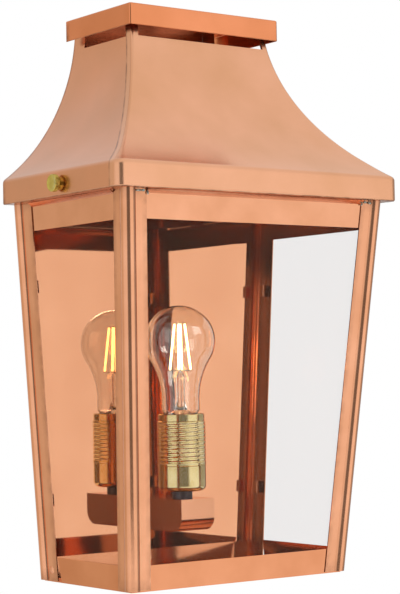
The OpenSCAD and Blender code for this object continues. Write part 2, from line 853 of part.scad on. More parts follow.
// Lamp: glass bulb, screw cap and light filaments
// The glass reaches this far down into the cap's collar
glass_seat = 2;
button_h = 2;
button_d = 9.6;
insulator_h = 4;
insulator_low = 13;
insulator_high = 23.8;
bulb_top = lamp_tip + lamp_l;
bulb_mid = bulb_top - bulb_d / 2;
cap_low = lamp_tip + button_h + insulator_h;
cap_high = cap_low + lamp_cap_h;
neck_fall = sqrt(pow(bulb_d / 2 + bulb_hollow_r, 2) - pow(bulb_neck_d / 2 + bulb_hollow_r, 2));
neck_top = bulb_mid - neck_fall;
touch = bulb_d / 2 / (bulb_d / 2 + bulb_hollow_r);
touch_r = (bulb_neck_d / 2 + bulb_hollow_r) * touch;
touch_z = bulb_mid - neck_fall * touch;
neck_foot = cap_high + 3;

module lamp_contact() {
    color("#B8B8B4") hang() on_lamp_axis(lamp_tip) rotate_extrude()
        polygon([[0, 0], [button_d / 2 - 1.2, 0], [button_d / 2, 1], [button_d / 2, button_h],
            [0, button_h]]);
}
module lamp_insulator() {
    color("#1D1D20") hang() on_lamp_axis(lamp_tip + button_h)
        cylinder(d1 = insulator_low, d2 = insulator_high, h = insulator_h);
}
module lamp_cap() {
    wall_t = 0.5;
    collar = 1;
    foot = 1.2;
    r = lamp_cap_d / 2;
    flare = lamp_cap_h - glass_seat - collar;
    color("#C9C6BE") hang() on_lamp_axis(cap_low) rotate_extrude() polygon([
        [r - foot, 0], [r, foot], [r, flare], [r + collar, flare + collar],
        [r + collar, lamp_cap_h], [r + collar - wall_t, lamp_cap_h],
        [r + collar - wall_t, flare + collar + wall_t / 2], [r - wall_t, flare + wall_t / 2],
        [r - wall_t, foot + wall_t / 2], [r - foot - wall_t / 2, wall_t], [0, wall_t], [0, 0]
    ]);
}
module bulb_outline(inset) {
    intersection() {
        union() {
            translate([0, bulb_mid]) circle(r = bulb_d / 2 - inset);
            difference() {
                polygon([
                    [0, cap_high - glass_seat], [lamp_cap_d / 2 - inset, cap_high - glass_seat],
                    [lamp_cap_d / 2 - inset, cap_high], [bulb_neck_d / 2 - inset, neck_foot],
                    [bulb_neck_d / 2 - inset, neck_top], [touch_r + 1, touch_z], [0, touch_z]
                ]);
                translate([bulb_neck_d / 2 + bulb_hollow_r, neck_top])
                    circle(r = bulb_hollow_r + inset, $fn = 180);
            }
        }
        translate([0, cap_low]) square([bulb_d, beyond]);
    }
}
module bulb_glass() {
    color(clear) hang() on_lamp_axis(0) rotate_extrude() difference() {
        bulb_outline(0);
        bulb_outline(bulb_t);
        translate([-1, cap_low]) square([lamp_cap_d / 2 - bulb_t + 1, cap_high - cap_low]);
    }
}
stem_r = 3.4;
stem_foot_r = lamp_cap_d / 2 - bulb_t;
stem_h = 36;
wire_d = 0.7;
wire_hub_d = 2;
wire_hub_h = 2;
module bulb_stem() {
    flare = 12;
    color(clear) hang() on_lamp_axis(cap_high - glass_seat) rotate_extrude() polygon([
        [0, 0], [stem_foot_r, 0], [stem_foot_r, 1], [stem_r + 2, flare * 0.45], [stem_r, flare],
        [stem_r, stem_h - 4], [stem_r - 1.4, stem_h], [0, stem_h]
    ]);
}
filament_foot = cap_high - glass_seat + stem_h + wire_hub_h;
filament_low_r = 8.6;
filament_high_r = 4.2;
filament_lean = asin((filament_high_r - filament_low_r) / filament_l);
module each_filament() {
    for (i = [0:filament_n - 1]) rotate([0, 0, 45 + 360 * i / filament_n]) children();
}
module filaments() {
    color("#FFE9A8") hang() on_lamp_axis(filament_foot) each_filament()
        translate([filament_low_r, 0, 0]) rotate([0, filament_lean, 0])
            cylinder(d = filament_d, h = filament_l, $fn = 24);
}
// Wires: a spoke from the stem to each filament's foot, and a crown above
module spokes(reach) {
    each_filament()
        rotate([0, 90, 0]) cylinder(d = wire_d, h = reach + filament_d / 3, $fn = 16);
}
module filament_wires() {
    // a leaning filament's end face rises and falls by this much
    tilt = filament_d / 2 * abs(sin(filament_lean));
    head_z = filament_l * cos(filament_lean) + tilt + wire_d / 2;
    color("#B9B9B9") hang() on_lamp_axis(filament_foot) {
        translate([0, 0, -wire_hub_h]) cylinder(d = wire_hub_d, h = wire_hub_h, $fn = 24);
        translate([0, 0, -tilt - wire_d / 2]) spokes(filament_low_r);
        translate([0, 0, head_z]) spokes(filament_high_r);
        translate([0, 0, head_z - wire_d / 2]) cylinder(d = wire_hub_d, h = wire_d, $fn = 24);
    }
}

backplate();
tray();
rear_left_post();
rear_right_post();
front_left_post();
front_right_post();
front_rail();
left_rail();
right_rail();
front_glass();
left_glass();
right_glass();
glass_clips();
tray_rivets();
lamp_bracket();
cable_grommet();
terminal_block();
terminal_screws();
nipple();
nipple_nut();
holder_spacer();
holder_cup();
holder_skirt();
holder_insert();
screw_shell();
centre_contact();
roof_front();
roof_left();
roof_right();
roof_back();
vent_cap();
screw_bushes();
left_washer();
left_thumb_screw();
right_washer();
right_thumb_screw();
lamp_cap();
lamp_insulator();
lamp_contact();
bulb_glass();
bulb_stem();
filaments();
filament_wires();
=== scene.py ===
"""A half lantern for a wall, dressed for a studio picture: polished copper sheet, clear panes,
a brass lampholder and one lit lamp, mirrored in the polished back plate."""

from math import cos, pi, radians, sin

import bpy
import numpy as np
from mathutils import Matrix, Vector


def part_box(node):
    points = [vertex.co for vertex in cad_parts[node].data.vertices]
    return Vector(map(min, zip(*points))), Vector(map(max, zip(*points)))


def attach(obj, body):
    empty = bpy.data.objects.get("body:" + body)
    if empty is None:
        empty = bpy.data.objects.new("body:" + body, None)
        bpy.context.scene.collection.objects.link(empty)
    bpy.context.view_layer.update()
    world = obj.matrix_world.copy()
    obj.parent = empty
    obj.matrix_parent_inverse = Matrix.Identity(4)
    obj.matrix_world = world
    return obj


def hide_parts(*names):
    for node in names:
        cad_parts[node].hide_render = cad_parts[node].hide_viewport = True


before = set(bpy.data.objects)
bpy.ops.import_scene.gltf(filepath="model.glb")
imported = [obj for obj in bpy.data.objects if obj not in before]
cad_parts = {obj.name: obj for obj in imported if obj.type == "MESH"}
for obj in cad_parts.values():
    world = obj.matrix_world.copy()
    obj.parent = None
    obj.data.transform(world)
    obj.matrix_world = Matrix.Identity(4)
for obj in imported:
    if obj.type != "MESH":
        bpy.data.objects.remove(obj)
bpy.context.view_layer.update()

MM = 0.001

# The camera, fitted to the photograph's edges. Its place is given from the tray's underside.
IMAGE_W, IMAGE_H = 400, 594
FOCAL_PX = 1831.9
SENSOR_MM = 36.0
TRAY_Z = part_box("tray")[0].z
CAMERA_PLACE = Vector((-0.88074, -1.26426, 0.16204 + TRAY_Z))
CAMERA_YAW = radians(36.59)
CAMERA_PITCH = radians(2.45)
CAMERA_ROLL = radians(-1.05)

# Sizes of the folded sheets, in mm above the tray's underside and out from the middle
SHEET = 0.8
POST_LOW, POST_TOP = 1.0, 301.0
FOOT_HALF, HEAD_HALF = 103.75, 124.0
FOOT_DEPTH, HEAD_DEPTH = 125.0, 157.0
SKIRT_TOP, SWEEP_TOP, SLOT_Z, TAB_TOP = 320.0, 437.0, 430.7, 454.7
SKIRT_HALF, SKIRT_DEPTH = 136.7, 166.4
NECK_HALF, NECK_DEPTH = 67.0, 85.5
SIDE_ARC, FRONT_ARC = 168.0, 183.0
LAP_W, FRONT_TAB, REAR_TAB = 6.5, 4.7, 16.8
SIDE_LEDGE, FRONT_LEDGE = 17.3, 14.0
CAP_LOW, CAP_TOP, CAP_HALF, CAP_DEPTH = 437.8, 455.5, 74.2, 92.7
SKIRT_CORNER, HIP_CORNER = 6.0, 1.8
BEAD_R, BEAD_IN = 5.87, 2.87
FRONT_FACE, REAR_FACE, POST_WEB = 17.8, 22.0, 8.5


def linear(text, alpha=1.0):
    """sRGB hex text, such as "#C98A68", as linear red, green and blue with an alpha."""
    values = [int(text[i:i + 2], 16) / 255 for i in (1, 3, 5)]
    return [v / 12.92 if v <= 0.04045 else ((v + 0.055) / 1.055) ** 2.4 for v in values] + [alpha]


def add(tree, kind, settings=None, links=None):
    """Adds a node. settings gives attributes and input values, links gives inputs their sources."""
    made = tree.nodes.new(kind)
    for key, value in (settings or {}).items():
        if isinstance(key, str) and hasattr(made, key):
            setattr(made, key, value)
        else:
            made.inputs[key].default_value = value
    for key, source in (links or {}).items():
        tree.links.new(source, made.inputs[key])
    return made


def new_material(name):
    """An empty node material, its tree and its output."""
    material = bpy.data.materials.new(name)
    material.use_nodes = True
    material.node_tree.nodes.clear()
    tree = material.node_tree
    return material, tree, add(tree, "ShaderNodeOutputMaterial")


# A noise value's usual range. The scale of a noise is 1000 over its blotches' size in mm
NOISE_RANGE = {"From Min": 0.3, "From Max": 0.7}

# The grain of a polish and the patches of tarnish, in mm, and copper gone brown where it was cut
GRAIN_MM, PATCH_MM = 3.5, 9.0
TARNISH = "#5A3424"


def metal(name, light, dark, roughness, cloud_mm, wave_mm, wave_height_mm, grain=0.25, curl=None):
    """Polished sheet or turned metal: two close tones in clouds, roughness that varies by a grain
    of a few millimetres, and long shallow waves where the sheet isn't quite flat. curl adds a
    sheet's own bends to the waves. A piece's tarnish attribute, where it has one, browns its cut
    edges in patches."""
    material, tree, output = new_material(name)
    place = add(tree, "ShaderNodeTexCoord").outputs["Object"]
    clouds = add(tree, "ShaderNodeTexNoise", {"Scale": 1000 / cloud_mm, "Detail": 3.0},
                 {"Vector": place})
    fine = add(tree, "ShaderNodeTexNoise", {"Scale": 1000 / GRAIN_MM, "Detail": 4.0, "Roughness": 0.6},
               {"Vector": place})
    waves = add(tree, "ShaderNodeTexNoise", {"Scale": 1000 / wave_mm, "Detail": 1.0}, {"Vector": place})
    patches = add(tree, "ShaderNodeTexNoise", {"Scale": 1000 / PATCH_MM, "Detail": 3.0},
                  {"Vector": place})
    tone = add(tree, "ShaderNodeMapRange", NOISE_RANGE, {"Value": clouds.outputs["Fac"]})
    clean = add(tree, "ShaderNodeMix", {"data_type": "RGBA", 6: linear(light), 7: linear(dark)},
                {"Factor": tone.outputs["Result"]})
    edge = add(tree, "ShaderNodeAttribute", {"attribute_name": "tarnish"})
    patchy = add(tree, "ShaderNodeMapRange", {**NOISE_RANGE, "To Min": 0.15, "To Max": 0.75},
                 {"Value": patches.outputs["Fac"]})
    worn = add(tree, "ShaderNodeMath", {"operation": "MULTIPLY"},
               {0: edge.outputs["Fac"], 1: patchy.outputs["Result"]})
    colour = add(tree, "ShaderNodeMix", {"data_type": "RGBA", 7: linear(TARNISH)},
                 {"Factor": worn.outputs["Value"], 6: clean.outputs[2]})
    shine = {"To Min": roughness * (1 - grain), "To Max": roughness * (1 + grain)}
    rough = add(tree, "ShaderNodeMapRange", {**NOISE_RANGE, **shine}, {"Value": fine.outputs["Fac"]})
    height = waves.outputs["Fac"]
    if curl is not None:
        height = curl(tree, place, height, wave_height_mm)
    bump = add(tree, "ShaderNodeBump", {"Strength": 1.0, "Distance": wave_height_mm * MM},
               {"Height": height})
    shader = add(tree, "ShaderNodeBsdfPrincipled", {"Metallic": 1.0},
                 {"Base Color": colour.outputs[2], "Roughness": rough.outputs["Result"],
                  "Normal": bump.outputs["Normal"]})
    tree.links.new(shader.outputs["BSDF"], output.inputs["Surface"])
    return material


CURL_REACH, CURL_RISE = 18.0, 0.8


def curled_edges(tree, place, waves, unit_mm):
    """Waves, and the back plate's two leaning edges rising by CURL_RISE over their last CURL_REACH,
    as the square of the way out, in units of unit_mm."""
    parts = add(tree, "ShaderNodeSeparateXYZ", None, {0: place})
    out = add(tree, "ShaderNodeMath", {"operation": "ABSOLUTE"}, {0: parts.outputs["X"]})
    lean = (HEAD_HALF - FOOT_HALF) / POST_TOP
    start = (FOOT_HALF - POST_WEB - CURL_REACH) * MM - TRAY_Z * lean
    line = add(tree, "ShaderNodeMath", {"operation": "MULTIPLY_ADD", 1: lean, 2: start},
               {0: parts.outputs["Z"]})
    past = add(tree, "ShaderNodeMath", {"operation": "SUBTRACT"},
               {0: out.outputs["Value"], 1: line.outputs["Value"]})
    share = add(tree, "ShaderNodeMapRange", {"From Min": 0.0, "From Max": CURL_REACH * MM},
                {"Value": past.outputs["Value"]})
    square = add(tree, "ShaderNodeMath", {"operation": "POWER", 1: 2.0}, {0: share.outputs["Result"]})
    return add(tree, "ShaderNodeMath", {"operation": "MULTIPLY_ADD", 1: CURL_RISE / unit_mm},
               {0: square.outputs["Value"], 2: waves}).outputs["Value"]


FLOOR_RISE, UPSTAND_LEAN = 0.09, 0.12


def loose_folds(tree, place, waves, unit_mm):
    """Waves, and a tray whose folds aren't quite square: its floor rises to the wall by FLOOR_RISE
    and its upstands lean back by UPSTAND_LEAN for each unit of their length, in units of unit_mm."""
    slopes = {"operation": "DOT_PRODUCT", 1: (0, FLOOR_RISE, -UPSTAND_LEAN)}
    rise = add(tree, "ShaderNodeVectorMath", slopes, {0: place})
    return add(tree, "ShaderNodeMath", {"operation": "MULTIPLY_ADD", 1: 1 / (unit_mm * MM)},
               {0: rise.outputs["Value"], 2: waves}).outputs["Value"]


def plain(name, light, dark, roughness, cloud_mm, bump_mm, bump_height_mm, coat=0.0):
    """Plastic, rubber or ceramic: two close tones in clouds and a fine moulded or glazed grain."""
    material, tree, output = new_material(name)
    place = add(tree, "ShaderNodeTexCoord").outputs["Object"]
    clouds = add(tree, "ShaderNodeTexNoise", {"Scale": 1000 / cloud_mm}, {"Vector": place})
    grain = add(tree, "ShaderNodeTexNoise", {"Scale": 1000 / bump_mm, "Detail": 3.0}, {"Vector": place})
    tone = add(tree, "ShaderNodeMapRange", NOISE_RANGE, {"Value": clouds.outputs["Fac"]})
    colour = add(tree, "ShaderNodeMix", {"data_type": "RGBA", 6: linear(light), 7: linear(dark)},
                 {"Factor": tone.outputs["Result"]})
    bump = add(tree, "ShaderNodeBump", {"Strength": 0.5, "Distance": bump_height_mm * MM},
               {"Height": grain.outputs["Fac"]})
    shader = add(tree, "ShaderNodeBsdfPrincipled", {"Roughness": roughness, "Coat Weight": coat},
                 {"Base Color": colour.outputs[2], "Normal": bump.outputs["Normal"]})
    tree.links.new(shader.outputs["BSDF"], output.inputs["Surface"])
    return material


def flat_pane(name, tint, held_back, wave_mm, wave_height_mm):
    """A flat pane: it lets light straight through, less the small share that each of its faces
    holds back, and shines only a little, with waves too shallow to see but in its gloss."""
    material, tree, output = new_material(name)
    place = add(tree, "ShaderNodeTexCoord").outputs["Object"]
    waves = add(tree, "ShaderNodeTexNoise", {"Scale": 1000 / wave_mm, "Detail": 0.0}, {"Vector": place})
    bump = add(tree, "ShaderNodeBump", {"Strength": 1.0, "Distance": wave_height_mm * MM},
               {"Height": waves.outputs["Fac"]})
    # The held-back share shows the tint; the panes' warm brown tint is a painted glow, not the glass's own
    # colour
    shader = add(tree, "ShaderNodeBsdfPrincipled",
                 {"Base Color": linear(tint), "Roughness": 0.02, "IOR": 1.5, "Alpha": held_back},
                 {"Normal": bump.outputs["Normal"]})
    tree.links.new(shader.outputs["BSDF"], output.inputs["Surface"])
    return material


def blown_glass(name, tint, wave_mm, wave_height_mm):
    """Soda-lime glass with an index of 1.5, blown thin: nearly colourless, with slow waves that
    show only in its reflections."""
    material, tree, output = new_material(name)
    place = add(tree, "ShaderNodeTexCoord").outputs["Object"]
    waves = add(tree, "ShaderNodeTexNoise", {"Scale": 1000 / wave_mm, "Detail": 0.0}, {"Vector": place})
    bump = add(tree, "ShaderNodeBump", {"Strength": 1.0, "Distance": wave_height_mm * MM},
               {"Height": waves.outputs["Fac"]})
    shader = add(tree, "ShaderNodeBsdfPrincipled",
                 {"Base Color": linear(tint), "Roughness": 0.0, "IOR": 1.5, "Transmission Weight": 1.0},
                 {"Normal": bump.outputs["Normal"]})
    tree.links.new(shader.outputs["BSDF"], output.inputs["Surface"])
    return material


def lit_phosphor(name):
    """The yellow silicone sleeve of a light filament, glowing a little unevenly along its length."""
    material, tree, output = new_material(name)
    place = add(tree, "ShaderNodeTexCoord").outputs["Object"]
    beads = add(tree, "ShaderNodeTexNoise", {"Scale": 1000 / 1.2}, {"Vector": place})
    strength = add(tree, "ShaderNodeMapRange", {**NOISE_RANGE, "To Min": 5.0, "To Max": 8.0},
                   {"Value": beads.outputs["Fac"]})
    shader = add(tree, "ShaderNodeBsdfPrincipled",
                 {"Base Color": linear("#FFD98A"), "Roughness": 0.45, "Emission Color": linear("#FFDF9C")},
                 {"Emission Strength": strength.outputs["Result"]})
    tree.links.new(shader.outputs["BSDF"], output.inputs["Surface"])
    return material


# Copper sheet, polished and unlacquered: pink to orange, with faint tan clouds where it has dulled.
# The roof is satin, the body and tray are brighter, and the back plate is a mirror
COPPER = {
    "roof": metal("polished_roof_copper", "#ECAE8A", "#E0A47C", 0.25, 60, 80, 0.5, 0.08),
    "skirted": metal("polished_side_copper", "#E4A07A", "#D69A76", 0.22, 60, 80, 0.5, 0.08),
    "cap": metal("polished_cap_copper", "#EB9568", "#DE8A5C", 0.2, 50, 70, 0.3, 0.08),
    "body": metal("polished_body_copper", "#EDAA84", "#DF9C74", 0.16, 40, 60, 0.25, 0.12),
    "tray": metal("polished_tray_copper", "#E69C72", "#D88E64", 0.1, 40, 70, 0.1, 0.12, loose_folds),
    "mirror": metal("mirror_back_copper", "#F8B48A", "#EEA87E", 0.035, 90, 130, 0.25, 0.12, curled_edges),
}
# Spun brass, lacquered, so it stays bright and pale yellow
BRASS = metal("lacquered_brass", "#F4E0A8", "#E4CE90", 0.17, 12, 25, 0.03)
# Turned brass without lacquer: greener and duller, with a fine close grain
TURNED_BRASS = metal("turned_brass", "#D2C068", "#BBA750", 0.22, 4, 6, 0.02)
# Float glass: clear, with so little in it that only its faint brown veil and its gloss show. The veil's
# warm brown is a painted glow: it stands in for the lit lamp's warm light on the lantern's inside, seen
# through the panes
PANE_WITH_PAINTED_GLOW = flat_pane("float_glass_with_painted_glow", "#8A6450", 0.055, 120, 0.04)
# Blown soda-lime glass: colourless, its bent edges dark where they turn the light away
BULB = blown_glass("blown_glass", "#FFFDF8", 30, 0.02)
# Phosphor in silicone: a warm white glow with a yellow edge
PHOSPHOR = lit_phosphor("lit_phosphor")
# Tin solder left as it ran: dull grey and lumpy
SOLDER = metal("tin_solder", "#B9BCB4", "#7E827A", 0.42, 2.5, 1.5, 0.3)
# Tinned steel: a cool, even grey shine
TINNED = metal("tinned_steel", "#C9C7C1", "#B2B0AA", 0.25, 5, 8, 0.02)
# Moulded nylon: black with a low sheen
BLACK = plain("black_nylon", "#3A3F4C", "#2B2F3A", 0.35, 4, 0.6, 0.02)
# Moulded polyamide: a warm white, a little waxy
CREAM = plain("cream_polyamide", "#E9E4D6", "#DDD7C6", 0.45, 6, 0.5, 0.02)
# Glazed porcelain: white under a glassy coat
GLAZED = plain("glazed_porcelain", "#EFECE3", "#E4E0D4", 0.15, 8, 3.0, 0.05, coat=0.5)
# Black glass of a lamp's insulator: deep and shiny
INSULATOR = plain("black_glass_insulator", "#1B1B20", "#121216", 0.12, 3, 1.0, 0.02)
# Moulded rubber: black and matt
RUBBER = plain("moulded_rubber", "#26262A", "#1C1C1F", 0.6, 4, 0.5, 0.03)

FINISH = {
    "backplate": COPPER["mirror"], "tray": COPPER["tray"],
    "rear_left_post": COPPER["body"], "rear_right_post": COPPER["body"],
    "front_left_post": COPPER["body"], "front_right_post": COPPER["body"],
    "front_rail": COPPER["body"], "left_rail": COPPER["body"], "right_rail": COPPER["body"],
    "front_glass": PANE_WITH_PAINTED_GLOW, "left_glass": PANE_WITH_PAINTED_GLOW, "right_glass": PANE_WITH_PAINTED_GLOW,
    "glass_clips": COPPER["body"], "tray_rivets": COPPER["body"],
    "lamp_bracket": COPPER["body"], "cable_grommet": RUBBER,
    "terminal_block": CREAM, "terminal_screws": TINNED, "nipple": BRASS, "nipple_nut": BRASS,
    "holder_spacer": BLACK, "holder_cup": BRASS, "holder_skirt": BRASS, "holder_insert": GLAZED,
    "screw_shell": BRASS, "centre_contact": BRASS,
    "roof_front": COPPER["roof"], "roof_left": COPPER["skirted"], "roof_right": COPPER["skirted"],
    "roof_back": COPPER["skirted"], "vent_cap": COPPER["cap"], "screw_bushes": BRASS,
    "left_washer": TURNED_BRASS, "left_thumb_screw": TURNED_BRASS,
    "right_washer": TURNED_BRASS, "right_thumb_screw": TURNED_BRASS,
    "lamp_cap": TINNED, "lamp_insulator": INSULATOR, "lamp_contact": TINNED,
    "bulb_glass": BULB, "bulb_stem": BULB, "filaments": PHOSPHOR, "filament_wires": TINNED,
}
for node_name, finish in FINISH.items():
    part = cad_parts[node_name]
    part.data.materials.clear()
    part.data.materials.append(finish)


# Folds past this angle stay crisp, and tarnish reaches this far in from a cut edge
SHARP = radians(28)
EDGE_MM = 1.1


def mesh_piece(name, points, faces, material, body, replaced=(), tarnish=None):
    """A new piece from its points in metres and its faces, riding on a body. Edges past a fold
    angle stay crisp."""
    mesh = bpy.data.meshes.new(name)
    mesh.from_pydata(np.asarray(points).tolist(), [], [list(f) for f in faces])
    mesh.polygons.foreach_set("use_smooth", [True] * len(mesh.polygons))
    mesh.set_sharp_from_angle(angle=SHARP)
    mesh.materials.append(material)
    if tarnish is not None:
        mesh.attributes.new("tarnish", "FLOAT", "POINT").data.foreach_set("value", tarnish)
    mesh.update()
    piece = bpy.data.objects.new(name, mesh)
    bpy.context.scene.collection.objects.link(piece)
    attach(piece, body)
    if replaced:
        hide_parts(*replaced)
    return piece


def cut_edge(sheet):
    """How tarnished each grid point is: 1 on the sheet's cut edges, falling to 0 at EDGE_MM, by the
    distance along the grid's rows and columns."""
    nearest = np.full(sheet.shape[:2], np.inf)
    for axis in (0, 1):
        step = np.linalg.norm(np.diff(sheet, axis=axis), axis=-1)
        pad = [(1, 0) if a == axis else (0, 0) for a in (0, 1)]
        length = np.cumsum(np.pad(step, pad), axis=axis)
        total = length.max(axis=axis, keepdims=True)
        nearest = np.minimum(nearest, np.minimum(length, total - length))
    return np.clip(1 - nearest / (EDGE_MM * MM), 0, 1)


def shell(sheet, thickness, keep=None):
    """Points and faces of a sheet with a wall: the outer points are the grid given, the inner ones
    lie thickness behind them along the grid's normals, and every open edge gets a rim. keep picks
    the cells that stay."""
    rows, columns, _ = sheet.shape
    up = np.gradient(sheet, axis=0)
    along = np.gradient(sheet, axis=1)
    normal = np.cross(along, up)
    normal /= np.linalg.norm(normal, axis=-1, keepdims=True)
    inner = sheet - thickness * normal
    i, j = np.meshgrid(np.arange(rows - 1), np.arange(columns - 1), indexing="ij")
    first = i * columns + j
    quads = np.stack([first, first + 1, first + columns + 1, first + columns], -1)
    quads = quads.reshape(-1, 4) if keep is None else quads[keep]
    count = rows * columns
    edges = np.stack([quads, np.roll(quads, -1, axis=1)], -1).reshape(-1, 2)
    key = edges[:, 0] * count + edges[:, 1]
    back = edges[:, 1] * count + edges[:, 0]
    rim = edges[~np.isin(key, back)]
    rims = np.stack([rim[:, 1], rim[:, 0], rim[:, 0] + count, rim[:, 1] + count], -1)
    faces = np.vstack([quads, quads[:, ::-1] + count, rims])
    used, index = np.unique(faces, return_inverse=True)
    points = np.vstack([sheet.reshape(-1, 3), inner.reshape(-1, 3)])[used]
    tarnish = np.tile(cut_edge(sheet).ravel(), 2)[used]
    return points, index.reshape(faces.shape).tolist(), tarnish


def mirrored(sheet):
    """The same grid on the other side of the lantern, with its columns turned round so that its
    faces still point outwards."""
    return (sheet * [-1, 1, 1])[:, ::-1]


def revolved(profile, steps, ripple=None):
    """Points and faces of a closed turned solid. The profile runs from pole to pole as radius and
    height; a point is at radius r(turn, height), turned by the angle about the axis."""
    r = profile[1:-1, 0][:, None]
    h = profile[1:-1, 1][:, None]
    turn = np.linspace(0, 2 * pi, steps, endpoint=False)[None, :]
    r = np.broadcast_to(r, (len(r), steps)) if ripple is None else ripple(turn, h, r)
    rings = np.stack([r * np.cos(turn), r * np.sin(turn), np.broadcast_to(h, r.shape)], -1).reshape(-1, 3)
    poles = [[0, 0, profile[0, 1]], [0, 0, profile[-1, 1]]]
    points = np.vstack([rings, poles])
    i, j = np.meshgrid(np.arange(len(h) - 1), np.arange(steps), indexing="ij")
    k = (j + 1) % steps
    quads = np.stack([i * steps + j, i * steps + k, (i + 1) * steps + k, (i + 1) * steps + j], -1)
    a = np.arange(steps)
    b = (a + 1) % steps
    last = (len(h) - 1) * steps
    low = np.stack([np.full(steps, len(points) - 2), b, a], -1)
    high = np.stack([np.full(steps, len(points) - 1), last + a, last + b], -1)
    return points, quads.reshape(-1, 4).tolist() + low.tolist() + high.tolist()


def stretch(a, b, count):
    """Profile points spaced evenly from a towards b, without b."""
    t = np.linspace(0, 1, count, endpoint=False)[:, None]
    return np.asarray(a)[None, :] * (1 - t) + np.asarray(b)[None, :] * t


def placed(x, y, z):
    """Millimetres from the tray's underside as one grid of points in metres."""
    return np.stack(np.broadcast_arrays(x, y, z), -1) * MM + [0, 0, TRAY_Z]


def post_half(z):
    """Half the body's width at height z: it leans out evenly from the foot to the head."""
    return FOOT_HALF + (HEAD_HALF - FOOT_HALF) * z / POST_TOP


def post_depth(z):
    """The body's depth at height z, which leans out in the same way."""
    return FOOT_DEPTH + (HEAD_DEPTH - FOOT_DEPTH) * z / POST_TOP


def hollow(z, foot, neck, radius):
    """How far out the roof is at height z: the foot's distance in the skirt, and above it a hollow
    arc of the given radius through the skirt's top and the neck."""
    low, high = np.array([foot, SKIRT_TOP]), np.array([neck, SWEEP_TOP])
    chord = high - low
    half_chord = np.hypot(*chord) / 2
    normal = np.array([chord[1], -chord[0]]) / (2 * half_chord)
    centre = (low + high) / 2 + normal * np.sqrt(radius ** 2 - half_chord ** 2)
    arc = centre[0] - np.sqrt(np.maximum(radius ** 2 - (z - centre[1]) ** 2, 0))
    return np.where(z < SKIRT_TOP, foot, arc)


# The length over which a fold is averaged, and the steps round a corner
SOFTEN_MM = 5.0
ARC_STEPS = 10


def softened(levels, foot, neck, radius):
    """The roof's distance out at each level, with the fold above the skirt rounded: the profile is
    averaged over a few millimetres of its own length."""
    z = np.linspace(POST_TOP - 20, TAB_TOP + 1, 4000)
    out = hollow(z, foot, neck, radius)
    length = np.concatenate([[0], np.cumsum(np.hypot(np.diff(out), np.diff(z)))])
    even = np.arange(0, length[-1], 0.2)
    out, z = np.interp(even, length, out), np.interp(even, length, z)
    window = np.ones(int(SOFTEN_MM / 0.2)) / int(SOFTEN_MM / 0.2)
    out, z = np.convolve(out, window, "valid"), np.convolve(z, window, "valid")
    return np.interp(levels, z, out)


def smooth_step(value, low, high):
    """0 below low, 1 above high, and a smooth cubic between them."""
    t = np.clip((value - low) / (high - low), 0, 1)
    return t * t * (3 - 2 * t)


def folded_round(half, depth, corner, z, side_y, front_at, arc_steps=ARC_STEPS):
    """Rows of a sheet folded round a hood, from the left side round the front to the right side:
    straight along x = half, a quarter circle of the corner's radius, straight along y = depth.
    side_y gives the side's columns, front_at the front's as shares from the corner to the middle."""
    half, depth, corner, z = (np.asarray(v, float)[:, None] for v in (half, depth, corner, z))
    q = np.linspace(0, pi / 2, arc_steps + 1)[None, 1:-1]
    side_x = np.broadcast_to(-half, side_y.shape)
    arc_x = -(half - corner) - corner * np.cos(q)
    arc_y = -(depth - corner) - corner * np.sin(q)
    front_x = -(half - corner) * (1 - np.asarray(front_at)[None, :])
    front_y = np.broadcast_to(-depth, front_x.shape)
    x = np.hstack([side_x, arc_x, front_x])
    y = np.hstack([side_y, arc_y, front_y])
    return placed(np.hstack([x, -x[:, -2::-1]]), np.hstack([y, y[:, -2::-1]]), z)


# How dark the tarnish is along the hips and along the posts. Along the hips the front panel's darker edges
# are tarnish and also painted shade where its laps meet the side panels
HIP_TARNISH_AND_SHADE, POST_TARNISH = 1.6, 0.5


